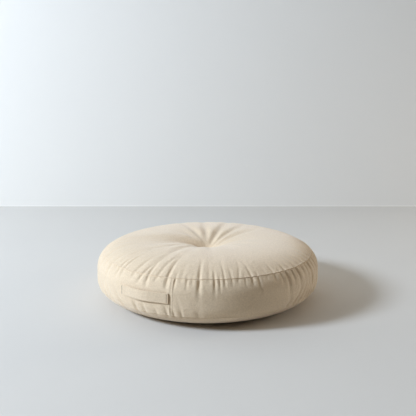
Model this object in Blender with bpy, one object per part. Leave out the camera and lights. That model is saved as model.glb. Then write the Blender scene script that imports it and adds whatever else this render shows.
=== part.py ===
"""Round meditation cushion with a tufted middle, gathered seams and a strap handle.

Metres, +Z up. The origin is the middle of the underside, on the floor.
Azimuths are degrees from -Y, where the handle is, turning towards +X.
The cushion is one filled solid: a turned section whose folds are raised in its points.
"""

import math
import random
from collections import namedtuple

import bmesh
import bpy
import numpy as np

# Driving dimensions of the filled cushion
OUTER_RADIUS = 0.300
CROWN_HEIGHT = 0.1530
CROWN_RADIUS = 0.145
TOP_SEAM_RADIUS = 0.2817
TOP_SEAM_HEIGHT = 0.1227
BELLY_HEIGHT = 0.080
LOW_SEAM_RADIUS = 0.2943
LOW_SEAM_HEIGHT = 0.0366
FOOT_RADIUS = 0.195
TUFT_DEPTH = 0.045
HOLLOW_RADIUS = 0.075
HOLLOW_DEPTH = 0.013

# Driving dimensions of the handle, a folded strip of the cover's cloth
STRAP_WIDTH = 0.024
STRAP_THICKNESS = 0.0013
STRAP_HALF_ANGLE = 13.0
STRAP_BOW = 0.0046
TAB_ANGLE = 2.4
CLEARANCE = 0.0005
STRAP_EDGE = 0.0003

# The turned section, from the tuft out over the crown and round under the cushion.
# heading is the way the line runs, 0 outwards and -90 down; before and after are Bezier handles.
Knot = namedtuple("Knot", "name radius height heading before after")
SECTION_KNOTS = (
    Knot("tuft", 0.000, CROWN_HEIGHT - TUFT_DEPTH, 0, 0.000, 0.004),
    Knot("throat", 0.012, CROWN_HEIGHT - 0.0365, 45, 0.005, 0.008),
    Knot("lip", 0.045, CROWN_HEIGHT - 0.0168, 21, 0.014, 0.022),
    Knot("crown", CROWN_RADIUS, CROWN_HEIGHT, 0, 0.045, 0.055),
    Knot("top_seam", TOP_SEAM_RADIUS, TOP_SEAM_HEIGHT, -42, 0.040, 0.0187),
    Knot("belly", OUTER_RADIUS, BELLY_HEIGHT, -90, 0.0187, 0.0174),
    Knot("low_seam", LOW_SEAM_RADIUS, LOW_SEAM_HEIGHT, -121, 0.0174, 0.036),
    Knot("foot", FOOT_RADIUS, 0.000, 180, 0.038, 0.030),
    Knot("hollow_rim", HOLLOW_RADIUS, 0.000, 180, 0.030, 0.022),
    Knot("hollow", 0.000, HOLLOW_DEPTH, 180, 0.022, 0.000),
)
POINTS_PER_RUN = 60

# Gathers at a seam: how many mm deep each is over and under the seam, its width in degrees to
# where the trough ends, how many mm it reaches above and below, and its slant in degrees a 100 mm.
Gather = namedtuple("Gather", "azimuth over under width above below slant")
TOP_GATHERS = (
    Gather(-72.5, 1.2, 1.0, 1.3, 52, 40, 0),
    Gather(-67.6, 1.7, 1.4, 1.1, 67, 40, 3),
    Gather(-62.8, 1.3, 1.1, 1.0, 46, 40, 0),
    Gather(-58.4, 1.8, 1.5, 1.2, 74, 40, 3),
    Gather(-53.2, 1.3, 1.1, 1.1, 55, 40, 0),
    Gather(-48.0, 1.0, 1.6, 1.2, 34, 16, 0),
    Gather(-39.3, 1.7, 2.5, 1.4, 62, 20, 4),
    Gather(-33.0, 0.9, 1.4, 1.0, 22, 16, 0),
    Gather(-27.4, 1.7, 2.5, 1.2, 44, 30, 0),
    Gather(-22.0, 1.0, 1.5, 1.0, 26, 14, 0),
    Gather(-18.8, 1.8, 2.3, 0.9, 43, 22, 0),
    Gather(-15.4, 1.7, 2.2, 0.9, 58, 16, 0),
    Gather(-7.4, 2.0, 2.3, 1.2, 67, 12, -3),
    Gather(-2.4, 2.5, 2.9, 0.9, 36, 20, -6),
    Gather(1.1, 2.8, 3.1, 0.9, 41, 26, 0),
    Gather(6.0, 1.8, 2.0, 1.1, 70, 13, -3),
    Gather(11.3, 3.3, 3.8, 1.0, 60, 27, 0),
    Gather(15.3, 1.3, 2.6, 0.6, 14, 24, 0),
    Gather(18.0, 0.8, 1.4, 1.1, 52, 8, 0),
    Gather(20.9, 1.1, 2.2, 0.6, 9, 20, 0),
    Gather(23.4, 0.8, 1.4, 0.6, 12, 11, 0),
    Gather(26.5, 3.0, 4.8, 0.9, 53, 34, 0),
    Gather(31.0, 0.9, 1.4, 1.0, 64, 7, 0),
    Gather(33.6, 2.6, 3.4, 0.7, 23, 29, 0),
    Gather(36.0, 1.6, 2.2, 0.6, 9, 25, 0),
    Gather(38.3, 1.6, 2.2, 0.7, 46, 18, 0),
    Gather(41.7, 1.4, 1.8, 0.7, 30, 16, 0),
    Gather(45.0, 1.2, 1.7, 0.8, 53, 11, -6),
    Gather(48.1, 0.9, 1.4, 0.6, 9, 18, 0),
    Gather(51.6, 2.2, 3.0, 0.8, 37, 17, 0),
    Gather(54.8, 1.5, 2.1, 0.6, 12, 36, 0),
    Gather(59.6, 0.7, 1.0, 0.9, 34, 9, 0),
    Gather(64.0, 1.8, 2.3, 0.8, 30, 17, 0),
    Gather(67.8, 1.4, 2.4, 0.6, 14, 22, 0),
    Gather(71.5, 2.6, 4.8, 0.9, 26, 48, 0),
    Gather(75.4, 1.4, 2.7, 0.8, 22, 33, 0),
    Gather(79.8, 2.3, 4.3, 0.9, 31, 39, 0),
    Gather(84.4, 2.1, 2.7, 0.9, 36, 33, 0),
    Gather(88.2, 1.8, 2.2, 0.8, 41, 43, 0),
    Gather(92.0, 2.8, 4.7, 0.9, 36, 78, 3),
    Gather(96.6, 3.0, 3.0, 1.0, 46, 38, 0),
    Gather(101.5, 4.3, 4.3, 1.0, 39, 55, 0),
    Gather(105.4, 3.2, 3.2, 0.8, 60, 46, 0),
    Gather(108.8, 4.3, 4.3, 0.8, 46, 63, 0),
    Gather(112.2, 3.0, 3.0, 0.7, 64, 38, 0),
    Gather(115.3, 3.9, 3.9, 0.8, 51, 55, 0),
    Gather(118.9, 3.3, 3.3, 0.9, 69, 48, 0),
    Gather(122.4, 4.1, 4.1, 0.9, 53, 59, 0),
    Gather(126.2, 3.2, 3.2, 1.0, 60, 38, 0),
)
LOW_GATHERS = (
    Gather(-71.0, 2.2, 0.6, 1.3, 30, 8, 8),
    Gather(-64.5, 3.0, 0.8, 1.2, 38, 9, 10),
    Gather(-58.0, 2.6, 0.7, 1.4, 34, 9, 10),
    Gather(-52.0, 3.7, 0.9, 1.2, 40, 10, 10),
    Gather(-46.0, 2.7, 0.8, 1.3, 32, 9, 10),
    Gather(-39.5, 3.8, 1.0, 1.2, 38, 10, 10),
    Gather(-33.0, 2.5, 0.9, 1.2, 36, 10, 10),
    Gather(-26.8, 2.9, 1.1, 1.0, 38, 12, 12),
    Gather(-20.0, 2.8, 1.1, 1.0, 34, 10, 16),
    Gather(-12.4, 3.4, 1.3, 1.1, 38, 12, 16),
    Gather(-3.6, 3.4, 1.3, 1.1, 36, 11, 8),
    Gather(1.1, 2.0, 0.8, 1.0, 31, 10, 6),
    Gather(6.9, 1.4, 0.6, 1.3, 26, 9, 4),
    Gather(12.2, 2.0, 0.8, 0.9, 32, 10, 4),
    Gather(15.4, 1.8, 0.8, 0.9, 31, 10, 5),
    Gather(19.0, 2.0, 0.8, 0.9, 29, 9, 4),
    Gather(26.6, 1.3, 0.6, 1.4, 28, 10, 3),
    Gather(33.0, 0.4, 0.2, 1.2, 16, 6, 0),
    Gather(69.5, 2.0, 0.6, 0.9, 26, 8, -12),
    Gather(73.6, 3.1, 0.8, 0.9, 44, 10, -18),
    Gather(77.6, 3.6, 0.9, 0.9, 48, 12, -18),
    Gather(82.0, 3.2, 0.8, 0.9, 53, 10, -16),
    Gather(86.4, 3.2, 0.8, 0.9, 44, 12, -12),
    Gather(91.0, 3.2, 0.8, 0.9, 51, 10, -6),
    Gather(96.0, 2.9, 0.8, 1.0, 37, 10, 0),
    Gather(101.0, 3.1, 0.8, 1.0, 44, 10, 0),
)

# How a gather dies away: the share of its depth that the sewn seam holds back and the length
# over which it does so, how it widens with distance, and where it is too faint to count.
SEAM_HOLD = 0.75
SEAM_HOLD_REACH = 0.0022
GATHER_SPREAD = 0.45
CREASE_SHOULDER = 0.6
GATHER_FADE = 1.1
FAINT_REACHES = 2.4
FAINT_WIDTHS = 5.0

# The rest of each seam is gathered at random, within these ranges of the stated figures.
SHOWN_FROM, SHOWN_TO = -75.0, 128.0
UNSEEN_TOP = Gather(0.0, 2.2, 3.0, 1.0, 44, 26, 6)
UNSEEN_LOW = Gather(0.0, 2.6, 1.2, 1.1, 36, 11, 6)
UNSEEN_SPACING = 4.4
SPACING_RANGE = (0.65, 1.4)
DEPTH_RANGE = (0.35, 1.0)
WIDTH_RANGE = (0.8, 1.25)
REACH_RANGE = (0.4, 1.3)
UNSEEN_SEED = 7

# Pleats that run out from the tuft: depth and width in mm where they are deepest, the
# reach of the pleat in mm, how many degrees it bends over 100 mm, and its skew: how much
# wider it is on the side of the lower azimuths than on the other.
Pleat = namedtuple("Pleat", "azimuth depth width reach bend skew")
TUFT_PLEATS = (
    Pleat(-56, 8.6, 15, 200, 3, 0.72),
    Pleat(-103, 1.8, 8, 150, -7, 0),
    Pleat(-126, 3.6, 9, 210, -1, 0),
    Pleat(-146, 3.4, 9, 240, 0, 0),
    Pleat(-170, 3.9, 9, 250, 2, 0),
    Pleat(165, 2.4, 7, 210, 6, 0),
    Pleat(140, 2.0, 8, 210, 10, 0),
    Pleat(112, 1.4, 10, 150, 0, 0),
    Pleat(88, 1.3, 10, 130, 0, 0),
    Pleat(62, 1.3, 11, 130, 0, 0),
    Pleat(36, 1.4, 12, 240, -1, 0),
    Pleat(12, 1.8, 11, 240, 0, 0),
    Pleat(1, 2.6, 9, 240, 0, 0),
    Pleat(-12, 1.8, 8, 230, -4, 0),
    Pleat(-26, 1.6, 10, 190, -6, 0),
)

# A pleat starts past the stitch, is narrow near it, and widens and fades as it runs out.
PLEAT_START = 0.006
PLEAT_RISE = 0.034
PLEAT_NARROW = 0.45
PLEAT_FULL_WIDTH_RADIUS = 0.05
PLEAT_SPREAD = 0.5
PLEAT_FADE = 1.3
PLEAT_END = 0.050

# The panels meet in a soft corner along each seam, and the cloth lies plain behind the handle.
SEAM_CORNER = 0.0012
SEAM_CORNER_REACH = 0.0090
CALM_WIDTH = 0.021
CALM_ANGLE = 3.2
UNDERSIDE_FADE = 0.030

# Fineness of the solid
AZIMUTH_STEPS = 450
FINE_STEP = 0.0036
COARSE_STEP = 0.0100
FINE_REACH = 0.030
CUSHION_TRIANGLES = 11400
LEVEL_WITHIN = 0.0004
SHARP_ANGLE = math.radians(60)
BOW_POINTS = 39
FOLD_POINTS = 5

MM = 0.001
COVER_COLOUR = (0.68, 0.60, 0.49, 1.0)
STRAP_COLOUR = (0.70, 0.62, 0.51, 1.0)
CLOTH_ROUGHNESS = 0.92


def smooth_step(x):
    """0 below 0, 1 above 1, and smooth between."""
    x = np.clip(x, 0.0, 1.0)
    return x * x * (3.0 - 2.0 * x)


def wrap_degrees(angle):
    """The angle brought between -180 and 180."""
    return (np.asarray(angle) + 180.0) % 360.0 - 180.0


def heading_vector(knot):
    """The way the section runs at a knot."""
    turn = math.radians(knot.heading)
    return np.array([math.cos(turn), math.sin(turn)])


def bezier_run(start, end):
    """Points of the section from one knot to the next, leaving out the first."""
    p0 = np.array([start.radius, start.height])
    p3 = np.array([end.radius, end.height])
    p1 = p0 + heading_vector(start) * start.after
    p2 = p3 - heading_vector(end) * end.before
    t = np.linspace(0.0, 1.0, POINTS_PER_RUN)[1:, None]
    return (1 - t) ** 3 * p0 + 3 * (1 - t) ** 2 * t * p1 + 3 * (1 - t) * t**2 * p2 + t**3 * p3


class Section:
    """The cushion's turned section, read by the distance along it from the tuft."""

    def __init__(self, knots):
        runs = [np.array([[knots[0].radius, knots[0].height]])]
        runs += [bezier_run(a, b) for a, b in zip(knots[:-1], knots[1:])]
        points = np.vstack(runs)
        steps = np.linalg.norm(np.diff(points, axis=0), axis=1)
        self.along = np.concatenate([[0.0], np.cumsum(steps)])
        self.points = points
        tangent = np.gradient(points, self.along, axis=0)
        tangent /= np.linalg.norm(tangent, axis=1)[:, None]
        self.normals = np.stack([-tangent[:, 1], tangent[:, 0]], axis=1)
        ends = np.cumsum([len(run) for run in runs]) - 1
        self.at = {knot.name: self.along[end] for knot, end in zip(knots, ends)}
        self.length = self.along[-1]

    def read(self, table, column, s):
        """One column of a table with a row for each point of the section."""
        return np.interp(s, self.along, table[:, column])

    def place(self, s):
        """Radius, height and outward normal at s."""
        radius, height = self.read(self.points, 0, s), self.read(self.points, 1, s)
        out, up = self.read(self.normals, 0, s), self.read(self.normals, 1, s)
        length = np.hypot(out, up)
        return radius, height, out / length, up / length


def unseen_gathers(model, seed):
    """Gathers for the part of a seam that doesn't show, as uneven as those that do."""
    draw = random.Random(seed)
    azimuth = SHOWN_TO + UNSEEN_SPACING
    last = SHOWN_FROM + 360.0 - UNSEEN_SPACING / 2
    made = []
    while azimuth < last:
        depth = draw.uniform(*DEPTH_RANGE)
        made.append(
            Gather(
                azimuth,
                model.over * depth,
                model.under * depth,
                model.width * draw.uniform(*WIDTH_RANGE),
                model.above * draw.uniform(*REACH_RANGE),
                model.below * draw.uniform(*REACH_RANGE),
                model.slant * draw.uniform(-1.0, 1.0),
            )
        )
        azimuth += UNSEEN_SPACING * draw.uniform(*SPACING_RANGE)
    return tuple(made)


def trough(x):
    """1 at the bottom of a trough, 0 at x = 1, and raised shoulders beyond."""
    return (1.0 - x * x) * np.exp(-0.5 * x * x)


def crease(x):
    """1 at the bottom of a narrow crease, 0 at x = 1.3, and hardly any shoulders beyond."""
    return (1.0 - CREASE_SHOULDER * x * x) * np.exp(-x * x)


def gather_relief(gathers, s, azimuth, seam):
    """How far the gathers at one seam move the cloth along its normal."""
    relief = np.zeros_like(s)
    off = s - seam
    held = 1.0 - SEAM_HOLD * np.exp(-np.abs(off) / SEAM_HOLD_REACH)
    for g in gathers:
        reach = np.where(off < 0.0, g.above, g.below) * MM
        share = np.abs(off) / reach
        across = wrap_degrees(azimuth - g.azimuth - g.slant * off / 0.1)
        width = g.width * (1.0 + GATHER_SPREAD * np.minimum(share, 2.0))
        near = (share < FAINT_REACHES) & (np.abs(across) < FAINT_WIDTHS * width)
        depth = np.where(off[near] < 0.0, g.over, g.under) * MM
        fade = np.exp(-GATHER_FADE * share[near] ** 2)
        relief[near] -= depth * fade * held[near] * crease(across[near] / width[near])
    return relief


def pleat_relief(s, azimuth, radius, seam):
    """The pleats round the tuft, which die away before the top seam."""
    relief = np.zeros_like(radius)
    rise = smooth_step((radius - PLEAT_START) / PLEAT_RISE) * smooth_step((seam - s) / PLEAT_END)
    narrow = PLEAT_NARROW + (1.0 - PLEAT_NARROW) * np.minimum(radius / PLEAT_FULL_WIDTH_RADIUS, 1.0)
    for p in TUFT_PLEATS:
        share = radius / (p.reach * MM)
        lean = p.bend * radius / 0.1
        across = np.radians(wrap_degrees(azimuth - p.azimuth - lean)) * radius
        width = p.width * MM * (narrow + PLEAT_SPREAD * share) * (1.0 - p.skew * np.sign(across))
        relief -= p.depth * MM * rise * np.exp(-PLEAT_FADE * share**2) * trough(across / width)
    return relief


def calm_behind_handle(section, s, azimuth):
    """0 behind the handle, where the band lies plain, and 1 away from it."""
    strap_share = np.abs(wrap_degrees(azimuth)) / (STRAP_HALF_ANGLE + CALM_ANGLE)
    height_share = np.abs(s - section.at["belly"]) / CALM_WIDTH
    return 1.0 - np.exp(-(strap_share**16) - height_share**6)


def surface(section, s, azimuth):
    """Points of the cushion at the distances s and the azimuths, in metres."""
    radius, height, out, up = section.place(s)
    top, low = section.at["top_seam"], section.at["low_seam"]
    relief = gather_relief(TOP_GATHERS + unseen_gathers(UNSEEN_TOP, UNSEEN_SEED), s, azimuth, top)
    relief += gather_relief(LOW_GATHERS + unseen_gathers(UNSEEN_LOW, UNSEEN_SEED + 1), s, azimuth, low)
    relief *= calm_behind_handle(section, s, azimuth)

    relief += pleat_relief(s, azimuth, radius, top)
    for seam in (top, low):
        relief += SEAM_CORNER * np.exp(-np.abs(s - seam) / SEAM_CORNER_REACH)
    relief *= smooth_step((section.at["foot"] - s) / UNDERSIDE_FADE)

    radius = np.maximum(radius + out * relief, 0.0)
    height = np.maximum(height + up * relief, 0.0)
    turn = np.radians(azimuth)
    return np.stack([radius * np.sin(turn), -radius * np.cos(turn), height], axis=-1)


def station_distances(section):
    """Where the rings of points lie along the section: close at the seams, wide apart elsewhere."""
    stations = [0.0]
    seams = (section.at["top_seam"], section.at["low_seam"])
    while stations[-1] < section.length:
        off = min(abs(stations[-1] - seam) for seam in seams)
        plain = 1.0 - math.exp(-((off / FINE_REACH) ** 2))
        stations.append(stations[-1] + FINE_STEP + (COARSE_STEP - FINE_STEP) * plain)
    stations[-1] = section.length
    return np.array(stations)


def cloth_material(name, colour):
    """Matt woven cotton."""
    material = bpy.data.materials.new(name)
    material.use_nodes = True
    shader = material.node_tree.nodes["Principled BSDF"]
    shader.inputs["Base Color"].default_value = colour
    shader.inputs["Roughness"].default_value = CLOTH_ROUGHNESS
    shader.inputs["Metallic"].default_value = 0.0
    material.diffuse_color = colour
    return material


def collection_named(name):
    """A new collection in the scene."""
    made = bpy.data.collections.new(name)
    bpy.context.scene.collection.children.link(made)
    return made


def fine_cushion(section, collection):
    """The cushion before it is thinned: a sphere whose rings are laid out along the section."""
    stations = station_distances(section)
    rings = len(stations) - 1
    mesh = bpy.data.meshes.new("cushion_fine")
    bm = bmesh.new()
    bmesh.ops.create_uvsphere(bm, u_segments=AZIMUTH_STEPS, v_segments=rings, radius=1.0)
    co = np.array([vert.co for vert in bm.verts])
    ring = np.rint(np.arccos(np.clip(co[:, 2], -1.0, 1.0)) / math.pi * rings).astype(int)
    azimuth = np.degrees(np.arctan2(co[:, 0], -co[:, 1]))
    for vert, point in zip(bm.verts, surface(section, stations[ring], azimuth)):
        vert.co = point
    bmesh.ops.triangulate(bm, faces=bm.faces)
    bm.to_mesh(mesh)
    bm.free()
    fine = bpy.data.objects.new("cushion_fine", mesh)
    collection.objects.link(fine)
    return fine


def make_cushion(section, collection, material):
    """The filled cushion, with fewer faces where the cloth is plain."""
    fine = fine_cushion(section, collection)
    thin = fine.modifiers.new("thin", "DECIMATE")
    thin.ratio = CUSHION_TRIANGLES / len(fine.data.polygons)
    bpy.context.view_layer.update()
    graph = bpy.context.evaluated_depsgraph_get()
    mesh = bpy.data.meshes.new_from_object(fine.evaluated_get(graph))
    bpy.data.objects.remove(fine)

    # What was level with the floor stays level after the thinning.
    for vert in mesh.vertices:
        if vert.co.z < LEVEL_WITHIN:
            vert.co.z = 0.0
    mesh.name = "cushion"
    mesh.materials.clear()
    mesh.materials.append(material)
    mesh.shade_smooth()
    mesh.set_sharp_from_angle(angle=SHARP_ANGLE)
    cushion = bpy.data.objects.new("cushion", mesh)
    collection.objects.link(cushion)
    return cushion


def strap_lift(azimuth):
    """How far the strap's back stands off the band: on its folded tab at each end, bowed between."""
    share = abs(azimuth) / (STRAP_HALF_ANGLE - TAB_ANGLE)
    bow = max(1.0 - share**2, 0.0) ** 2
    return STRAP_THICKNESS + (STRAP_BOW - STRAP_THICKNESS) * bow


def strap_outline():
    """The strap seen from above, as a closed line of (azimuth, radius) points."""
    base = OUTER_RADIUS + CLEARANCE
    tip_angle = math.degrees(STRAP_THICKNESS / base)
    fold_middle = STRAP_HALF_ANGLE - tip_angle
    tab_start = STRAP_HALF_ANGLE - TAB_ANGLE

    outer = base + STRAP_THICKNESS
    face = [(a, outer + strap_lift(a)) for a in np.linspace(-fold_middle, fold_middle, BOW_POINTS)]
    back = [(a, base + strap_lift(a)) for a in np.linspace(tab_start, -tab_start, BOW_POINTS)]
    fold = []
    for turn in np.radians(np.linspace(60.0, -60.0, FOLD_POINTS)):
        azimuth = fold_middle + tip_angle * math.cos(turn)
        fold.append((azimuth, outer + STRAP_THICKNESS * math.sin(turn)))
    far_fold = [(-azimuth, radius) for azimuth, radius in reversed(fold)]
    tab = [(fold_middle, base), (tab_start, base)]
    far_tab = [(-azimuth, radius) for azimuth, radius in reversed(tab)]
    return face + fold + tab + back + far_tab + far_fold


def make_handle(collection, material):
    """The strap handle: its outline seen from above, raised to the strap's width."""
    curve = bpy.data.curves.new("handle", "CURVE")
    curve.dimensions = "2D"
    curve.fill_mode = "BOTH"
    curve.extrude = STRAP_WIDTH / 2 - STRAP_EDGE
    curve.bevel_depth = STRAP_EDGE
    curve.bevel_resolution = 0
    curve.offset = -STRAP_EDGE
    outline = strap_outline()
    spline = curve.splines.new("POLY")
    spline.points.add(len(outline) - 1)
    for point, (azimuth, radius) in zip(spline.points, outline):
        turn = math.radians(azimuth)
        point.co = (radius * math.sin(turn), -radius * math.cos(turn), 0.0, 1.0)
    spline.use_cyclic_u = True
    curve.materials.append(material)
    handle = bpy.data.objects.new("handle", curve)
    handle.location = (0.0, 0.0, BELLY_HEIGHT)
    collection.objects.link(handle)
    return handle


def main():
    """Clear the scene and make both pieces."""
    for old in list(bpy.data.objects):
        bpy.data.objects.remove(old)
    parts = collection_named("meditation_cushion")
    section = Section(SECTION_KNOTS)
    make_cushion(section, parts, cloth_material("cover_cloth", COVER_COLOUR))
    make_handle(parts, cloth_material("strap_cloth", STRAP_COLOUR))


main()
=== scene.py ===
"""Looks of the round meditation cushion: its cloth cover, strap handle and stitches.

Metres, +Z up, in the frame's own axes. Azimuths are degrees from -Y, where the handle
is, turning towards +X. s is the distance along the cushion's turned section from the
middle of its top, over the crown and down round the side to the middle of its underside.
"""

import math
import random
from collections import namedtuple

import bmesh
import bpy
import numpy as np
from mathutils import Matrix, Vector


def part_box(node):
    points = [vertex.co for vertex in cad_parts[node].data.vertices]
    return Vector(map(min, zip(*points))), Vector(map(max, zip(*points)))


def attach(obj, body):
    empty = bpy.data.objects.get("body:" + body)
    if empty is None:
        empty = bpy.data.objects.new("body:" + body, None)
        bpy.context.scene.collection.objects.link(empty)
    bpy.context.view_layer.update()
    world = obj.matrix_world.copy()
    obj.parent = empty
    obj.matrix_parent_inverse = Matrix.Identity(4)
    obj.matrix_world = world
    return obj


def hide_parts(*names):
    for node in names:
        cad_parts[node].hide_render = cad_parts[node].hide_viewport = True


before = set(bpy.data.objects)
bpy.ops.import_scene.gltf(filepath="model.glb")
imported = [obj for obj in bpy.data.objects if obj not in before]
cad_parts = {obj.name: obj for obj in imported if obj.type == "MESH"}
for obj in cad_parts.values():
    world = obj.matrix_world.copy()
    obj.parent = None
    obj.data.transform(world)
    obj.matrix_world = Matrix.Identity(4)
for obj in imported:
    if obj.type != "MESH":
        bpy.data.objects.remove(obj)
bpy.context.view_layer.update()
HANDLE_LOW, HANDLE_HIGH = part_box("handle")

# The tables of folds give depths, widths and reaches in millimetres, unless they say degrees.
MM = 0.001

# The cushion's section
OUTER_RADIUS = 0.300
CROWN_HEIGHT = 0.1530
CROWN_RADIUS = 0.145
TUFT_DEPTH = 0.045
FOOT_RADIUS = 0.195
HOLLOW_RADIUS = 0.075
HOLLOW_DEPTH = 0.013
BELLY_HEIGHT = (HANDLE_LOW.z + HANDLE_HIGH.z) / 2

# The handle's strap: its length is that of the cloth before its ends are turned under.
STRAP_WIDTH = HANDLE_HIGH.z - HANDLE_LOW.z
STRAP_THICKNESS = 0.0013
STRAP_HALF_ANGLE = 13.0
STRAP_BOW = 0.0046
TAB_ANGLE = 2.4
CLEARANCE = 0.0005

# heading is the way the line runs, 0 outwards and -90 down; before and after are Bezier handles.
Knot = namedtuple("Knot", "name radius height heading before after")
SECTION_KNOTS = (
    Knot("tuft", 0.000, CROWN_HEIGHT - TUFT_DEPTH, 0, 0.000, 0.004),
    Knot("throat", 0.012, CROWN_HEIGHT - 0.0365, 45, 0.005, 0.008),
    Knot("lip", 0.045, CROWN_HEIGHT - 0.0168, 21, 0.014, 0.022),
    Knot("crown", CROWN_RADIUS, CROWN_HEIGHT, 0, 0.045, 0.055),
    Knot("top_seam", 0.2817, 0.1227, -42, 0.040, 0.0187),
    Knot("belly", OUTER_RADIUS, BELLY_HEIGHT, -90, 0.0187, 0.0174),
    Knot("low_seam", 0.2943, 0.0366, -121, 0.0174, 0.036),
    Knot("foot", FOOT_RADIUS, 0.000, 180, 0.038, 0.030),
    Knot("hollow_rim", HOLLOW_RADIUS, 0.000, 180, 0.030, 0.022),
    Knot("hollow", 0.000, HOLLOW_DEPTH, 180, 0.022, 0.000),
)
POINTS_PER_RUN = 60

# A gather's slant and a pleat's bend are so many degrees over this length.
LEAN_LENGTH = 0.1

# Gathers at a seam: how many mm deep each is over and under the seam, its width in degrees to
# where the trough ends, how many mm it reaches above and below the seam, and its slant.
Gather = namedtuple("Gather", "azimuth over under width above below slant")
TOP_GATHERS = (
    Gather(-72.5, 1.2, 1.0, 1.3, 52, 40, 0),
    Gather(-67.6, 1.7, 1.4, 1.1, 67, 40, 3),
    Gather(-62.8, 1.3, 1.1, 1.0, 46, 40, 0),
    Gather(-58.4, 1.8, 1.5, 1.2, 74, 40, 3),
    Gather(-53.2, 1.3, 1.1, 1.1, 55, 40, 0),
    Gather(-48.0, 1.0, 1.6, 1.2, 34, 16, 0),
    Gather(-39.3, 1.7, 2.5, 1.4, 62, 20, 4),
    Gather(-33.0, 0.9, 1.4, 1.0, 22, 16, 0),
    Gather(-27.4, 1.7, 2.5, 1.2, 44, 30, 0),
    Gather(-22.0, 1.0, 1.5, 1.0, 26, 14, 0),
    Gather(-18.8, 1.8, 2.3, 0.9, 43, 22, 0),
    Gather(-15.4, 1.7, 2.2, 0.9, 58, 16, 0),
    Gather(-7.4, 2.0, 2.3, 1.2, 67, 12, -3),
    Gather(-2.4, 2.5, 2.9, 0.9, 36, 20, -6),
    Gather(1.1, 2.8, 3.1, 0.9, 41, 26, 0),
    Gather(6.0, 1.8, 2.0, 1.1, 70, 13, -3),
    Gather(11.3, 3.3, 3.8, 1.0, 60, 27, 0),
    Gather(15.3, 1.3, 2.6, 0.6, 14, 24, 0),
    Gather(18.0, 0.8, 1.4, 1.1, 52, 8, 0),
    Gather(20.9, 1.1, 2.2, 0.6, 9, 20, 0),
    Gather(23.4, 0.8, 1.4, 0.6, 12, 11, 0),
    Gather(26.5, 3.0, 4.8, 0.9, 53, 34, 0),
    Gather(31.0, 0.9, 1.4, 1.0, 64, 7, 0),
    Gather(33.6, 2.6, 3.4, 0.7, 23, 29, 0),
    Gather(36.0, 1.6, 2.2, 0.6, 9, 25, 0),
    Gather(38.3, 1.6, 2.2, 0.7, 46, 18, 0),
    Gather(41.7, 1.4, 1.8, 0.7, 30, 16, 0),
    Gather(45.0, 1.2, 1.7, 0.8, 53, 11, -6),
    Gather(48.1, 0.9, 1.4, 0.6, 9, 18, 0),
    Gather(51.6, 2.2, 3.0, 0.8, 37, 17, 0),
    Gather(54.8, 1.5, 2.1, 0.6, 12, 36, 0),
    Gather(59.6, 0.7, 1.0, 0.9, 34, 9, 0),
    Gather(64.0, 1.8, 2.3, 0.8, 30, 17, 0),
    Gather(67.8, 1.4, 2.4, 0.6, 14, 22, 0),
    Gather(71.5, 2.6, 4.8, 0.9, 26, 48, 0),
    Gather(75.4, 1.4, 2.7, 0.8, 22, 33, 0),
    Gather(79.8, 2.3, 4.3, 0.9, 31, 39, 0),
    Gather(84.4, 2.1, 2.7, 0.9, 36, 33, 0),
    Gather(88.2, 1.8, 2.2, 0.8, 41, 43, 0),
    Gather(92.0, 2.8, 4.7, 0.9, 36, 78, 3),
    Gather(96.6, 3.0, 3.0, 1.0, 46, 38, 0),
    Gather(101.5, 4.3, 4.3, 1.0, 39, 55, 0),
    Gather(105.4, 3.2, 3.2, 0.8, 60, 46, 0),
    Gather(108.8, 4.3, 4.3, 0.8, 46, 63, 0),
    Gather(112.2, 3.0, 3.0, 0.7, 64, 38, 0),
    Gather(115.3, 3.9, 3.9, 0.8, 51, 55, 0),
    Gather(118.9, 3.3, 3.3, 0.9, 69, 48, 0),
    Gather(122.4, 4.1, 4.1, 0.9, 53, 59, 0),
    Gather(126.2, 3.2, 3.2, 1.0, 60, 38, 0),
)
LOW_GATHERS = (
    Gather(-71.0, 2.2, 0.6, 1.3, 30, 8, 8),
    Gather(-64.5, 3.0, 0.8, 1.2, 38, 9, 10),
    Gather(-58.0, 2.6, 0.7, 1.4, 34, 9, 10),
    Gather(-52.0, 3.7, 0.9, 1.2, 40, 10, 10),
    Gather(-46.0, 2.7, 0.8, 1.3, 32, 9, 10),
    Gather(-39.5, 3.8, 1.0, 1.2, 38, 10, 10),
    Gather(-33.0, 2.5, 0.9, 1.2, 36, 10, 10),
    Gather(-26.8, 2.9, 1.1, 1.0, 38, 12, 12),
    Gather(-20.0, 2.8, 1.1, 1.0, 34, 10, 16),
    Gather(-12.4, 3.4, 1.3, 1.1, 38, 12, 16),
    Gather(-3.6, 3.4, 1.3, 1.1, 36, 11, 8),
    Gather(1.1, 2.0, 0.8, 1.0, 31, 10, 6),
    Gather(6.9, 1.4, 0.6, 1.3, 26, 9, 4),
    Gather(12.2, 2.0, 0.8, 0.9, 32, 10, 4),
    Gather(15.4, 1.8, 0.8, 0.9, 31, 10, 5),
    Gather(19.0, 2.0, 0.8, 0.9, 29, 9, 4),
    Gather(26.6, 1.3, 0.6, 1.4, 28, 10, 3),
    Gather(33.0, 0.4, 0.2, 1.2, 16, 6, 0),
    Gather(69.5, 2.0, 0.6, 0.9, 26, 8, -12),
    Gather(73.6, 3.1, 0.8, 0.9, 44, 10, -18),
    Gather(77.6, 3.6, 0.9, 0.9, 48, 12, -18),
    Gather(82.0, 3.2, 0.8, 0.9, 53, 10, -16),
    Gather(86.4, 3.2, 0.8, 0.9, 44, 12, -12),
    Gather(91.0, 3.2, 0.8, 0.9, 51, 10, -6),
    Gather(96.0, 2.9, 0.8, 1.0, 37, 10, 0),
    Gather(101.0, 3.1, 0.8, 1.0, 44, 10, 0),
)

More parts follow.
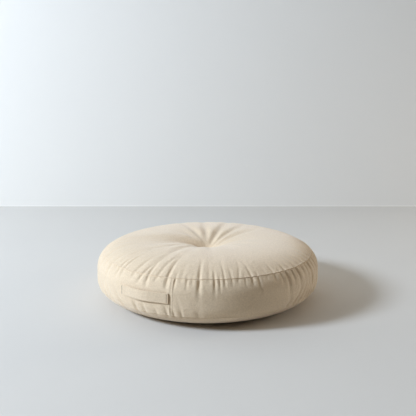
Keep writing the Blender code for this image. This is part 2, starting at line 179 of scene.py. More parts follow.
# How a gather dies away: the share of its depth that the sewn seam holds back and the length
# over which it does so, how it widens with distance and for how many of its reaches, and
# where it is too faint to count.
SEAM_HOLD = 0.75
SEAM_HOLD_REACH = 0.0022
GATHER_SPREAD = 0.45
SPREAD_REACHES = 2.0
CREASE_SHOULDER = 0.6
GATHER_FADE = 1.1
FAINT_REACHES = 2.4
FAINT_WIDTHS = 5.0

# The rest of each seam is gathered at random, within these ranges of the stated figures.
SHOWN_FROM, SHOWN_TO = -75.0, 128.0
UNSEEN_TOP = Gather(0.0, 2.2, 3.0, 1.0, 44, 26, 6)
UNSEEN_LOW = Gather(0.0, 2.6, 1.2, 1.1, 36, 11, 6)
UNSEEN_SPACING = 4.4
SPACING_RANGE = (0.65, 1.4)
DEPTH_RANGE = (0.35, 1.0)
WIDTH_RANGE = (0.8, 1.25)
REACH_RANGE = (0.4, 1.3)
UNSEEN_SEED = 7

# Pleats that run out from the tuft: depth and width in mm where they are deepest, the
# reach of the pleat in mm, its bend, and its skew: how much wider it is on the side of the
# lower azimuths than on the other.
Pleat = namedtuple("Pleat", "azimuth depth width reach bend skew")
TUFT_PLEATS = (
    Pleat(-56, 8.6, 15, 200, 3, 0.72),
    Pleat(-103, 1.8, 8, 150, -7, 0),
    Pleat(-126, 3.6, 9, 210, -1, 0),
    Pleat(-146, 3.4, 9, 240, 0, 0),
    Pleat(-170, 3.9, 9, 250, 2, 0),
    Pleat(165, 2.4, 7, 210, 6, 0),
    Pleat(140, 2.0, 8, 210, 10, 0),
    Pleat(112, 1.4, 10, 150, 0, 0),
    Pleat(88, 1.3, 10, 130, 0, 0),
    Pleat(62, 1.3, 11, 130, 0, 0),
    Pleat(36, 1.4, 12, 240, -1, 0),
    Pleat(12, 1.8, 11, 240, 0, 0),
    Pleat(1, 2.6, 9, 240, 0, 0),
    Pleat(-12, 1.8, 8, 230, -4, 0),
    Pleat(-26, 1.6, 10, 190, -6, 0),
)

# A pleat starts past the stitch, is narrow near it, widens and fades as it runs out, and has
# ended where the top seam is.
PLEAT_START = 0.006
PLEAT_RISE = 0.034
PLEAT_NARROW = 0.45
PLEAT_FULL_WIDTH_RADIUS = 0.05
PLEAT_SPREAD = 0.5
PLEAT_FADE = 1.3
PLEAT_END = 0.050

# The panels meet in a soft corner along each seam, the cloth lies plain behind the handle, and
# all folds end before the foot. The higher a power, the more sudden the plain cloth's edge.
SEAM_CORNER = 0.0012
SEAM_CORNER_REACH = 0.0090
CALM_WIDTH = 0.021
CALM_ANGLE = 3.2
CALM_END_POWER = 16
CALM_SIDE_POWER = 6
UNDERSIDE_FADE = 0.030

# The sewn line itself: a narrow groove below a rolled edge. It is a little fainter at the low
# seam, and far fainter round one azimuth: out to the first of the span's degrees from there,
# and growing to full strength at the second.
GROOVE_DEPTH = 0.0018
GROOVE_HALF_WIDTH = 0.0008
ROLL_HEIGHT = 0.0007
ROLL_OFFSET = 0.0018
ROLL_HALF_WIDTH = 0.0011
LOW_SEAM_SHARE = 0.9
FAINT_SEAM_AZIMUTH = -75.0
FAINT_SEAM_SHARE = 0.30
FAINT_SEAM_SPAN = (15.0, 40.0)

# The vertical seam that closes the band: two raised lines, this far apart
SIDE_SEAM_AZIMUTH = 13.9
SIDE_SEAM_SPREAD = 0.0066
SIDE_ROLL_HEIGHT = 0.0006
SIDE_ROLL_HALF_WIDTH = 0.0010
SIDE_SEAM_BLEND = 0.004

# The band is drawn in beside the handle's sewn ends
TACK_DEPTH = 0.0020
TACK_OFFSET = 0.0010
TACK_HALF_WIDTH = 0.0011
TACK_EDGE_POWER = 8

# Fineness of the cover's mesh: the steps in degrees between the points of a ring, on the side
# that shows, on the rest, and close to the side seam and the handle's other end
SHOWN_STEP = 0.32
REST_STEP = 0.85
SIDE_SEAM_STEP = 0.13
SIDE_SEAM_REACH = 1.3
TACK_REACH = 0.9
FINE_FROM, FINE_TO = -62.0, 108.0
FINE_BLEND = 12.0

# The rings themselves: how far some lie from a seam, the steps near a seam, away from it and
# underneath, how far near reaches, and how far the first and last stay from the middle
SEAM_OFFSETS = (0.0, 0.0004, 0.0009, 0.0015, 0.0022, 0.0031, 0.0043, 0.0060)
FINE_STEP = 0.0024
COARSE_STEP = 0.0090
UNDER_STEP = 0.0300
SEAM_NEARNESS = 0.045
POLE_GAP = 0.004

# The filling swells the cover between its seams: a cloth run on a coarser copy, how far it may
# move a point, and how far from a seam, the tuft or the foot the cloth is held
SETTLE_COLUMNS = 288
SETTLE_STEP = 0.0080
SETTLE_PRESSURE = 4.0
SETTLE_FRAMES = 20
SETTLE_CAP = 0.0030
SETTLE_HOLD = 0.010
SETTLE_TUFT_RADIUS = 0.030

# The strap's mesh, and the stitched dip across each end
FOLD_GAP = 0.00015
FACE_STEPS = 70
FOLD_STEPS = 11
TAB_STEPS = 6
WIDTH_STEPS = 13
EDGE_STEPS = 6
STITCH_INSET = 0.0036
STITCH_DIP = 0.0005
STITCH_DIP_WIDTH = 0.0018

# Stitches across the strap's ends, and the crossed threads that pull the middle down
STITCH_PITCH = 0.0011
STITCH_HALF_LENGTH = 0.0013
STITCH_RADIUS = 0.00045
STITCH_SIDES = 10
STITCH_RINGS = 8
TUFT_THREAD_HALF_LENGTH = 0.0046
TUFT_THREAD_RADIUS = 0.0007
TUFT_THREAD_LIFT = 0.0012
TUFT_THREAD_TURNS = (20.0, 80.0, 140.0)
# The thread is a dark brown, far darker than the cloth: partly its own colour and partly painted shade, so
# the rows of stitches across the strap's ends draw the shaded crease beside them.
THREAD_COLOUR_AND_PAINTED_SHADE = (0.43, 0.31, 0.19, 1.0)
THREAD_DARK_AND_PAINTED_SHADE = (0.30, 0.21, 0.13, 1.0)
THREAD_SCALE = 900.0
THREAD_ROUGHNESS = 0.85
FIBRE_HEIGHT = 0.0001
FIBRE_STRENGTH = 0.5

# Cloth: a twill's rib and thread pitch, its unevenness, and its soft sheen
COVER_DARK = (0.641, 0.477, 0.308, 1.0)
COVER_LIGHT = (0.913, 0.720, 0.498, 1.0)
RIB_PITCH = 0.0013
THREAD_PITCH = 0.00065
WEAVE_WANDER = 0.0006
RIB_SHARE = 0.6
CROSSED_SHARE = 0.4
WEAVE_HEIGHT = 0.00018
WEAVE_STRENGTH = 0.6
SLUB_SCALE = 160.0
MOTTLE_SCALE = 38.0
GRAIN_SCALE = 300.0
MOTTLE_SHARE = 0.12
GRAIN_SHARE = 1.05
WEAVE_SHARE = 0.10
SLUB_SHARE = 0.12
LUMP_SCALE = 95.0
LUMP_HEIGHT = 0.0009
LUMP_GRAIN_SHARE = 0.25
COVER_ROUGHNESS = 0.95
COVER_SPECULAR = 0.25
SHEEN_WEIGHT = 0.45
SHEEN_ROUGHNESS = 0.5
SHEEN_TINT = (1.0, 0.985, 0.96, 1.0)

# Camera: its bearing round the cushion, distance, height, tilt and shift to its right, and its
# lens and sensor
CAMERA_AZIMUTH = 30.3
CAMERA_DISTANCE = 1.5426
CAMERA_HEIGHT = 0.5325
CAMERA_PITCH = 10.9
CAMERA_ASIDE = 0.0010
LENS_MM = 50.0
SENSOR_MM = 36.0

# Where the pale floor turns up into the backdrop, measured from the cushion away from the camera
SWEEP_DISTANCE = 1.274
SWEEP_RADIUS = 0.004
SWEEP_POINTS = 9
STUDIO_HALF_WIDTH = 6.0
STUDIO_HEIGHT = 4.0
STUDIO_FRONT = 5.0
FLOOR_COLOUR = (0.679, 0.643, 0.587, 1.0)
BACKDROP_COLOUR = (0.955, 0.898, 0.812, 1.0)
STUDIO_MOTTLE_SCALE = 3.0
STUDIO_SHADE = 0.985
STUDIO_ROUGHNESS = 0.8

# Light: each soft light's place, which is how far it is from the middle of the cushion's foot to
# the camera's right, away from the camera and up; and a fill that is dimmer low down and in front
KEY_PLACE = (-3.83, -1.10, 2.38)
KEY_SIZE = 1.1
KEY_SPREAD = 170.0
KEY_POWER = 192.0
KEY_COLOUR = (0.825, 0.985, 1.21)
SIDE_PLACE = (2.6, 0.90, 0.6)
SIDE_SIZE = 0.8
SIDE_SPREAD = 100.0
SIDE_POWER = 5.5
SIDE_COLOUR = (1.0, 0.95, 0.88)
LIGHT_AIM = (0.0, 0.0, 0.05)
SKY_LOW = (0.02, 0.019, 0.017, 1.0)
SKY_HIGH = (0.518, 0.484, 0.430, 1.0)
SKY_RISE = 0.50
SKY_FRONT_REACH = 0.65
SKY_FRONT_DIM = 0.92
BLACK = (0.0, 0.0, 0.0, 1.0)


def smooth_step(x):
    """0 below 0, 1 above 1, and smooth between."""
    x = np.clip(x, 0.0, 1.0)
    return x * x * (3.0 - 2.0 * x)


def wrap_degrees(angle):
    """The angle brought between -180 and 180."""
    return (np.asarray(angle) + 180.0) % 360.0 - 180.0


def heading_vector(knot):
    """The way the section runs at a knot."""
    turn = math.radians(knot.heading)
    return np.array([math.cos(turn), math.sin(turn)])


def bezier_run(start, end):
    """Points of the section from one knot to the next, leaving out the first."""
    p0 = np.array([start.radius, start.height])
    p3 = np.array([end.radius, end.height])
    p1 = p0 + heading_vector(start) * start.after
    p2 = p3 - heading_vector(end) * end.before
    t = np.linspace(0.0, 1.0, POINTS_PER_RUN)[1:, None]
    return (1 - t) ** 3 * p0 + 3 * (1 - t) ** 2 * t * p1 + 3 * (1 - t) * t**2 * p2 + t**3 * p3


class Section:
    """The cushion's turned section, read by the distance along it from the tuft."""

    def __init__(self, knots):
        runs = [np.array([[knots[0].radius, knots[0].height]])]
        runs += [bezier_run(a, b) for a, b in zip(knots[:-1], knots[1:])]
        points = np.vstack(runs)
        steps = np.linalg.norm(np.diff(points, axis=0), axis=1)
        self.along = np.concatenate([[0.0], np.cumsum(steps)])
        self.points = points
        tangent = np.gradient(points, self.along, axis=0)
        tangent /= np.linalg.norm(tangent, axis=1)[:, None]
        self.normals = np.stack([-tangent[:, 1], tangent[:, 0]], axis=1)
        ends = np.cumsum([len(run) for run in runs]) - 1
        self.at = {knot.name: self.along[end] for knot, end in zip(knots, ends)}
        self.length = self.along[-1]

    def read(self, table, column, s):
        """One column of a table with a row for each point of the section."""
        return np.interp(s, self.along, table[:, column])

    def place(self, s):
        """Radius, height and outward normal at s."""
        radius, height = self.read(self.points, 0, s), self.read(self.points, 1, s)
        out, up = self.read(self.normals, 0, s), self.read(self.normals, 1, s)
        length = np.hypot(out, up)
        return radius, height, out / length, up / length


def unseen_gathers(model, seed):
    """Gathers for the part of a seam that doesn't show, as uneven as those that do."""
    draw = random.Random(seed)
    azimuth = SHOWN_TO + UNSEEN_SPACING
    last = SHOWN_FROM + 360.0 - UNSEEN_SPACING / 2
    made = []
    while azimuth < last:
        depth = draw.uniform(*DEPTH_RANGE)
        made.append(
            Gather(
                azimuth,
                model.over * depth,
                model.under * depth,
                model.width * draw.uniform(*WIDTH_RANGE),
                model.above * draw.uniform(*REACH_RANGE),
                model.below * draw.uniform(*REACH_RANGE),
                model.slant * draw.uniform(-1.0, 1.0),
            )
        )
        azimuth += UNSEEN_SPACING * draw.uniform(*SPACING_RANGE)
    return tuple(made)


def trough(x):
    """1 at the bottom of a trough, 0 at x = 1, and raised shoulders beyond."""
    return (1.0 - x * x) * np.exp(-0.5 * x * x)


def crease(x):
    """1 at the bottom of a narrow crease, 0 at x = 1.3, and hardly any shoulders beyond."""
    return (1.0 - CREASE_SHOULDER * x * x) * np.exp(-x * x)


def gather_relief(gathers, s, azimuth, seam):
    """How far the gathers at one seam move the cloth along its normal."""
    relief = np.zeros_like(s)
    off = s - seam
    held = 1.0 - SEAM_HOLD * np.exp(-np.abs(off) / SEAM_HOLD_REACH)
    for g in gathers:
        reach = np.where(off < 0.0, g.above, g.below) * MM
        share = np.abs(off) / reach
        across = wrap_degrees(azimuth - g.azimuth - g.slant * off / LEAN_LENGTH)
        width = g.width * (1.0 + GATHER_SPREAD * np.minimum(share, SPREAD_REACHES))
        near = (share < FAINT_REACHES) & (np.abs(across) < FAINT_WIDTHS * width)
        depth = np.where(off[near] < 0.0, g.over, g.under) * MM
        fade = np.exp(-GATHER_FADE * share[near] ** 2)
        relief[near] -= depth * fade * held[near] * crease(across[near] / width[near])
    return relief


def pleat_relief(s, azimuth, radius, seam):
    """The pleats round the tuft, which die away before the top seam."""
    relief = np.zeros_like(radius)
    rise = smooth_step((radius - PLEAT_START) / PLEAT_RISE) * smooth_step((seam - s) / PLEAT_END)
    narrow = PLEAT_NARROW + (1.0 - PLEAT_NARROW) * np.minimum(radius / PLEAT_FULL_WIDTH_RADIUS, 1.0)
    for p in TUFT_PLEATS:
        share = radius / (p.reach * MM)
        lean = p.bend * radius / LEAN_LENGTH
        across = np.radians(wrap_degrees(azimuth - p.azimuth - lean)) * radius
        width = p.width * MM * (narrow + PLEAT_SPREAD * share) * (1.0 - p.skew * np.sign(across))
        relief -= p.depth * MM * rise * np.exp(-PLEAT_FADE * share**2) * trough(across / width)
    return relief


def calm_behind_handle(section, s, azimuth):
    """0 behind the handle, where the band lies plain, and 1 away from it."""
    strap_share = np.abs(wrap_degrees(azimuth)) / (STRAP_HALF_ANGLE + CALM_ANGLE)
    height_share = np.abs(s - section.at["belly"]) / CALM_WIDTH
    return 1.0 - np.exp(-(strap_share**CALM_END_POWER) - height_share**CALM_SIDE_POWER)


def sewn_line(off):
    """The groove of a plain seam and the rolled edge above it."""
    groove = GROOVE_DEPTH * np.exp(-((off / GROOVE_HALF_WIDTH) ** 2))
    roll = ROLL_HEIGHT * np.exp(-(((off + ROLL_OFFSET) / ROLL_HALF_WIDTH) ** 2))
    return roll - groove


def fold_relief(section, s, azimuth, radius):
    """All the folds of the cover, as a distance along the section's normal."""
    top, low = section.at["top_seam"], section.at["low_seam"]
    relief = gather_relief(TOP_GATHERS + unseen_gathers(UNSEEN_TOP, UNSEEN_SEED), s, azimuth, top)
    relief += gather_relief(LOW_GATHERS + unseen_gathers(UNSEEN_LOW, UNSEEN_SEED + 1), s, azimuth, low)
    relief *= calm_behind_handle(section, s, azimuth)
    relief += pleat_relief(s, azimuth, radius, top)
    for seam in (top, low):
        relief += SEAM_CORNER * np.exp(-np.abs(s - seam) / SEAM_CORNER_REACH)
    return relief * smooth_step((section.at["foot"] - s) / UNDERSIDE_FADE)


def tack_depth(section, s, azimuth, radius):
    """How far the band is drawn in by the stitches across the handle's ends."""
    aside = np.radians(np.abs(wrap_degrees(azimuth)) - STRAP_HALF_ANGLE) * radius - TACK_OFFSET
    along = (s - section.at["belly"]) / (STRAP_WIDTH / 2)
    return TACK_DEPTH * np.exp(-((aside / TACK_HALF_WIDTH) ** 2) - along**TACK_EDGE_POWER)


def seam_relief(section, s, azimuth, radius):
    """The sewn lines: both round seams, the vertical one, and beside the handle's ends."""
    top, low = section.at["top_seam"], section.at["low_seam"]
    from_faint = np.abs(wrap_degrees(azimuth - FAINT_SEAM_AZIMUTH))
    start, end = FAINT_SEAM_SPAN
    share = FAINT_SEAM_SHARE + (1.0 - FAINT_SEAM_SHARE) * smooth_step((from_faint - start) / (end - start))
    relief = share * (sewn_line(s - top) + LOW_SEAM_SHARE * sewn_line(s - low))
    aside = np.radians(wrap_degrees(azimuth - SIDE_SEAM_AZIMUTH)) * radius
    on_band = smooth_step((s - top) / SIDE_SEAM_BLEND) * smooth_step((low - s) / SIDE_SEAM_BLEND)
    for line in (-SIDE_SEAM_SPREAD / 2, SIDE_SEAM_SPREAD / 2):
        relief += on_band * SIDE_ROLL_HEIGHT * np.exp(-(((aside - line) / SIDE_ROLL_HALF_WIDTH) ** 2))
    return relief - tack_depth(section, s, azimuth, radius)


def stations(section):
    """Where the rings of points lie along the section: closest at the seams."""
    seams = (section.at["top_seam"], section.at["low_seam"])
    clear = SEAM_OFFSETS[-1]
    made = [seam + sign * off for seam in seams for off in SEAM_OFFSETS for sign in (-1.0, 1.0)]
    stops = [(POLE_GAP, seams[0] - clear), (seams[0] + clear, seams[1] - clear)]
    stops.append((seams[1] + clear, section.length - POLE_GAP))
    for start, end in stops:
        run = [start]
        while run[-1] < end:
            off = min(abs(run[-1] - seam) for seam in seams)
            plain = 1.0 - math.exp(-((off / SEAM_NEARNESS) ** 2))
            coarse = UNDER_STEP if run[-1] > section.at["foot"] else COARSE_STEP
            run.append(run[-1] + FINE_STEP + (coarse - FINE_STEP) * plain)
        run = np.array(run)
        made += list(start + (run - start) * (end - start) / (run[-1] - start))
    return np.unique(np.round(made, 6))


def columns():
    """The azimuths of the points in each ring: closest at the side seam and the handle's ends."""
    middle, half = (FINE_FROM + FINE_TO) / 2, (FINE_TO - FINE_FROM) / 2
    run = [-180.0]
    while run[-1] < 180.0:
        rest = smooth_step((abs(run[-1] - middle) - half) / FINE_BLEND)
        step = SHOWN_STEP + (REST_STEP - SHOWN_STEP) * rest
        at_side_seam = abs(run[-1] - SIDE_SEAM_AZIMUTH) < SIDE_SEAM_REACH
        if at_side_seam or abs(run[-1] + STRAP_HALF_ANGLE) < TACK_REACH:
            step = SIDE_SEAM_STEP
        run.append(run[-1] + step)
    return np.array(run[:-1])


def to_points(radius, height, azimuth):
    """Cylinder coordinates to x, y and z."""
    turn = np.radians(azimuth)
    return np.stack([radius * np.sin(turn), -radius * np.cos(turn), height], axis=-1)


def link(name, data):
    """A new object for a mesh, light or camera, in the scene."""
    made = bpy.data.objects.new(name, data)
    bpy.context.scene.collection.objects.link(made)
    return made


def mesh_from(name, points, faces, corners=None):
    """A smooth mesh from points and faces, with a (u, v) in metres for each face corner."""
    mesh = bpy.data.meshes.new(name)
    mesh.from_pydata(points, [], faces)
    if corners is not None:
        layer = mesh.uv_layers.new(name="cloth")
        layer.data.foreach_set("uv", np.asarray(corners, dtype=np.float32).ravel())
    mesh.shade_smooth()
    mesh.update()
    return mesh


def cover_faces(count, around):
    """Quads between the rings and fans at both ends; a corner is its ring and its step round it."""
    k = np.arange(around)
    quads = []
    for i in range(count - 1):
        corners = ((i + 1, k), (i + 1, k + 1), (i, k + 1), (i, k))
        quad = [np.stack([np.full_like(k, ring), step], axis=1) for ring, step in corners]
        quads.append(np.stack(quad, axis=1))
    quads = np.vstack(quads)
    zero, end = np.zeros_like(k), np.full_like(k, count - 1)
    first = [np.stack(pair, axis=1) for pair in ((zero, k), (zero, k + 1), (zero - 1, k))]
    last = [np.stack(pair, axis=1) for pair in ((end + 1, k), (end, k + 1), (end, k))]
    return quads, np.stack(first, axis=1), np.stack(last, axis=1)


def panel_place(section, s, azimuth, middle):
    """Where a point lies on its flat panel, in metres; its face's middle says which panel it is."""
    top, low = section.at["top_seam"], section.at["low_seam"]
    turn = np.radians(azimuth)
    out = np.where(middle < top, s, section.length - s)
    flat = np.stack([out * np.sin(turn), -out * np.cos(turn)], axis=-1)
    band = np.stack([turn * OUTER_RADIUS, s], axis=-1)
    on_band = ((middle > top) & (middle < low))[..., None]
    return np.where(on_band, band, flat)


def cover_mesh(section, s_line, azimuths, rings):
    """The closed cover from its rings of points, with each panel laid out flat in its UVs."""
    count, around = len(s_line), len(azimuths)
    top_index, under_index = count * around, count * around + 1
    middles = [[0.0, 0.0, SECTION_KNOTS[0].height], [0.0, 0.0, HOLLOW_DEPTH]]
    points = np.vstack([rings.reshape(-1, 3), middles])
    closed = np.append(azimuths, azimuths[0] + 360.0)
    s_all = np.concatenate([s_line, [section.length], [0.0]])
    faces, corners = [], []
    for group in cover_faces(count, around):
        ring, step = group[..., 0], group[..., 1]
        index = ring * around + step % around
        index = np.where(ring < 0, top_index, np.where(ring >= count, under_index, index))
        s = s_all[ring]
        azimuth = closed[step]
        middle = np.broadcast_to(s.mean(axis=1, keepdims=True), s.shape)
        faces += index.tolist()
        corners.append(panel_place(section, s, azimuth, middle).reshape(-1, 2))
    return mesh_from("cushion_cover", points.tolist(), faces, np.vstack(corners))


def held_share(section, s, azimuth, radius):
    """1 where the cloth is sewn, stitched, under the handle or on the floor, and 0 where it is free."""
    foot = section.at["foot"]
    held = smooth_step((s - foot) / SETTLE_HOLD + 2.0)
    for seam in (section.at["top_seam"], section.at["low_seam"]):
        held = np.maximum(held, np.exp(-(((s - seam) / SETTLE_HOLD) ** 2)))
    held = np.maximum(held, 1.0 - smooth_step(radius / SETTLE_TUFT_RADIUS - 1.0) * (s < foot))
    return np.maximum(held, 1.0 - calm_behind_handle(section, s, azimuth))


def swell(cover, held):
    """Presses a closed piece of cloth outwards and gives its new points."""
    group = cover.vertex_groups.new(name="held")
    for index, weight in enumerate(held):
        group.add([index], float(weight), "REPLACE")
    cloth = cover.modifiers.new("swell", "CLOTH")
    cloth.settings.vertex_group_mass = group.name
    cloth.settings.use_pressure = True
    cloth.settings.uniform_pressure_force = SETTLE_PRESSURE
    cloth.settings.effector_weights.gravity = 0.0
    cloth.collision_settings.use_collision = False
    cloth.point_cache.frame_end = SETTLE_FRAMES
    scene = bpy.context.scene
    for step in range(1, SETTLE_FRAMES + 1):
        scene.frame_set(step)
    moved = cover.evaluated_get(bpy.context.evaluated_depsgraph_get()).data
    points = np.empty(len(moved.vertices) * 3)
    moved.vertices.foreach_get("co", points)
    scene.frame_set(1)
    return points.reshape(-1, 3)


def evened(values):
    """Values on a grid that closes on itself sideways, smoothed with their neighbours."""
    sideways = (np.roll(values, 1, axis=1) + 2.0 * values + np.roll(values, -1, axis=1)) / 4.0
    padded = np.vstack([sideways[:1], sideways, sideways[-1:]])
    return (padded[:-2] + 2.0 * padded[1:-1] + padded[2:]) / 4.0


def on_grid(values, coarse_s, coarse_azimuths, s_line, azimuths):
    """Values of a coarse grid read on a finer one."""
    along = np.stack([np.interp(s_line, coarse_s, column) for column in values.T], axis=1)
    closed = np.append(coarse_azimuths, coarse_azimuths[0] + 360.0)
    return np.stack([np.interp(azimuths, closed, np.append(row, row[0])) for row in along])


def settle(section, s_line, azimuths):
    """How far the filling pushes each point outwards and upwards, apart from its ring's mean."""
    coarse_s = np.arange(POLE_GAP, section.length - POLE_GAP, SETTLE_STEP)
    coarse_azimuths = np.arange(SETTLE_COLUMNS) * 360.0 / SETTLE_COLUMNS - 180.0
    s, azimuth = np.meshgrid(coarse_s, coarse_azimuths, indexing="ij")
    radius, height, out, up = section.place(s)
    relief = fold_relief(section, s, azimuth, radius)
    rings = to_points(radius + out * relief, height + up * relief, azimuth)
    coarse = link("settling", cover_mesh(section, coarse_s, coarse_azimuths, rings))
    held = np.append(held_share(section, s, azimuth, radius).ravel(), [1.0, 1.0])
    moved = swell(coarse, held)[: s.size].reshape(rings.shape)
    bpy.data.objects.remove(coarse)
    pushed = np.hypot(moved[..., 0], moved[..., 1]) - np.hypot(rings[..., 0], rings[..., 1])
    raised = moved[..., 2] - rings[..., 2]
    shifts = []
    for shift in (pushed, raised):
        shift = evened(shift - shift.mean(axis=1, keepdims=True))
        shift = SETTLE_CAP * np.tanh(shift / SETTLE_CAP)
        shifts.append(on_grid(shift, coarse_s, coarse_azimuths, s_line, azimuths))
    return shifts


def cover_rings(section, s_line, azimuths):
    """The cover's points with all its folds and seams, a ring for each station."""
    s, azimuth = np.meshgrid(s_line, azimuths, indexing="ij")
    radius, height, out, up = section.place(s)
    relief = fold_relief(section, s, azimuth, radius) + seam_relief(section, s, azimuth, radius)
    pushed, raised = settle(section, s_line, azimuths)
    return to_points(radius + out * relief + pushed, np.maximum(height + up * relief + raised, 0.0), azimuth)


def make_cover(section):
    """The sewn cover, filled."""
    s_line, azimuths = stations(section), columns()
    rings = cover_rings(section, s_line, azimuths)
    return link("cushion_cover", cover_mesh(section, s_line, azimuths, rings))


def strap_lift(azimuth):
    """How far the strap's back stands off the band: on its folded tab at each end, bowed between."""
    share = azimuth / (STRAP_HALF_ANGLE - TAB_ANGLE)
    bow = max(1.0 - share**2, 0.0) ** 2
    return STRAP_THICKNESS + (STRAP_BOW - STRAP_THICKNESS) * bow


def strap_path():
    """The middle of the strap's thickness, seen from above: tab, fold, bowed face, fold, tab."""
    base = OUTER_RADIUS + CLEARANCE
    fold = STRAP_THICKNESS / 2 + FOLD_GAP
    half = STRAP_THICKNESS / 2
    to_degrees = math.degrees(1.0 / base)
    fold_middle = STRAP_HALF_ANGLE - (fold + half) * to_degrees
    tab_start = STRAP_HALF_ANGLE - TAB_ANGLE
    rise = fold - half
    face = []
    for azimuth in np.linspace(0.0, fold_middle, FACE_STEPS):
        from_end = (fold_middle - azimuth) / to_degrees + fold
        dip = STITCH_DIP * math.exp(-(((from_end - STITCH_INSET) / STITCH_DIP_WIDTH) ** 2))
        face.append((azimuth, base + strap_lift(azimuth) + half + 2 * rise - dip))
    turns = np.radians(np.linspace(90.0, -90.0, FOLD_STEPS))[1:]
    middle = base + half + fold
    end = [(fold_middle + fold * to_degrees * math.cos(t), middle + fold * math.sin(t)) for t in turns]
    tab = [(azimuth, base + half) for azimuth in np.linspace(fold_middle, tab_start, TAB_STEPS)[1:]]
    right = face + end + tab
    left = [(-azimuth, radius) for azimuth, radius in reversed(right[1:])]
    path = []
    for azimuth, radius in left + right:
        turn = math.radians(azimuth)
        path.append(Vector((radius * math.sin(turn), -radius * math.cos(turn), 0.0)))
    return path


def strap_section():
    """The strap's cross-section, a thin bar with rounded edges, as (thickness, width) points."""
    half_thick, half_wide = STRAP_THICKNESS / 2, STRAP_WIDTH / 2
    line = []
    for side in (1.0, -1.0):
        across = np.linspace(-(half_wide - half_thick), half_wide - half_thick, WIDTH_STEPS) * side
        line += [(half_thick * side, wide) for wide in across[:-1]]
        for turn in np.radians(np.linspace(0.0, 180.0, EDGE_STEPS + 1))[:-1]:
            wide = side * (half_wide - half_thick + half_thick * math.sin(turn))
            line.append((half_thick * math.cos(turn) * side, wide))
    return line


def sweep(path, outline):
    """Points, faces and UVs of an outline carried along a path that lies level, both ends closed."""
    count, around = len(path), len(outline)
    along = np.concatenate([[0.0], np.cumsum([(b - a).length for a, b in zip(path[:-1], path[1:])])])
    sides = [math.dist(a, b) for a, b in zip(outline, outline[1:] + outline[:1])]
    round_it = np.concatenate([[0.0], np.cumsum(sides)])
    points, faces, corners = [], [], []
    for i, centre in enumerate(path):
        tangent = (path[min(i + 1, count - 1)] - path[max(i - 1, 0)]).normalized()
        normal = Vector((tangent.y, -tangent.x, 0.0))
        points += [tuple(centre + normal * thick + Vector((0.0, 0.0, wide))) for thick, wide in outline]
    for i in range(count - 1):
        for k in range(around):
            j = (k + 1) % around
            faces.append((i * around + k, (i + 1) * around + k, (i + 1) * around + j, i * around + j))
            corners += [(along[i], round_it[k]), (along[i + 1], round_it[k]),
                        (along[i + 1], round_it[k + 1]), (along[i], round_it[k + 1])]
    last = (count - 1) * around
    faces += [tuple(range(around)), tuple(reversed(range(last, last + around)))]
    corners += outline + outline[::-1]
    return points, faces, corners


def follow_belly(section, point):
    """A point of the strap drawn in by as much as the band curves away above and below its middle."""
    x, y, z = point
    on_band = (section.along > section.at["top_seam"]) & (section.along < section.at["low_seam"])
    radius, height = section.points[on_band][::-1].T
    drawn = 1.0 - (OUTER_RADIUS - np.interp(BELLY_HEIGHT + z, height, radius)) / math.hypot(x, y)
    return (x * drawn, y * drawn, z)


def make_strap(section):
    """The handle: one flat strap whose ends are folded under."""
    points, faces, corners = sweep(strap_path(), strap_section())
    points = [follow_belly(section, point) for point in points]
    strap = link("handle_strap", mesh_from("handle_strap", points, faces, corners))
    strap.location.z = BELLY_HEIGHT
    return strap


def stitches(name, places):
    """Short threads as one mesh; each place is a middle, the way the thread runs, half length, radius."""
    bm = bmesh.new()
    for middle, way, half_length, radius in places:
        turn = Vector(way).to_track_quat("Z", "Y").to_matrix().to_4x4()
        size = Matrix.Diagonal((radius, radius, half_length, 1.0))
        matrix = Matrix.Translation(middle) @ turn @ size
        bmesh.ops.create_uvsphere(
            bm, u_segments=STITCH_SIDES, v_segments=STITCH_RINGS, radius=1.0, matrix=matrix
        )
    mesh = bpy.data.meshes.new(name)
    bm.to_mesh(mesh)
    bm.free()
    mesh.shade_smooth()
    return link(name, mesh)


def handle_stitch_places(section):
    """A dense row of short stitches across each end of the strap, lying on its outer face."""
    base = OUTER_RADIUS + CLEARANCE
    azimuth = STRAP_HALF_ANGLE - math.degrees(STITCH_INSET / base)
    face = base + strap_lift(azimuth) + STRAP_THICKNESS + 2 * FOLD_GAP - STITCH_DIP
    count = int((STRAP_WIDTH - STITCH_PITCH) / STITCH_PITCH)
    places = []
    for side in (-1.0, 1.0):
        turn = math.radians(side * azimuth)
        for row in range(count):
            z = (row - (count - 1) / 2) * STITCH_PITCH
            x, y, z = follow_belly(section, (face * math.sin(turn), -face * math.cos(turn), z))
            along = (math.cos(turn), math.sin(turn), 0.0)
            places.append(((x, y, BELLY_HEIGHT + z), along, STITCH_HALF_LENGTH, STITCH_RADIUS))
    return places


def tuft_stitch_places(height):
    """Threads that cross at one end of the stitch through the middle."""
    places = []
    for turn in np.radians(TUFT_THREAD_TURNS):
        way = (math.cos(turn), math.sin(turn), 0.0)
        places.append(((0.0, 0.0, height), way, TUFT_THREAD_HALF_LENGTH, TUFT_THREAD_RADIUS))
    return places


def make_stitches(section):
    """The stitches of the handle's ends and both ends of the stitch through the middle."""
    top = SECTION_KNOTS[0].height + TUFT_THREAD_LIFT
    sewing = {
        "handle_stitches": (handle_stitch_places(section), "strap"),
        "tuft_stitch": (tuft_stitch_places(top) + tuft_stitch_places(HOLLOW_DEPTH), "cover"),
    }
    thread = thread_material("cotton_thread")
    for name, (places, slot) in sewing.items():
        made = stitches(name, places)
        made.data.materials.append(thread)
        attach(made, "root")


def new_material(name):
    """A node material and its shader."""
    material = bpy.data.materials.new(name)
    material.use_nodes = True
    return material, material.node_tree.nodes["Principled BSDF"]


# The sockets of a Mix node that mixes colours: its factor, both colours, and its result
MIX_INPUTS = (0, 6, 7)
MIX_OUTPUT = 2


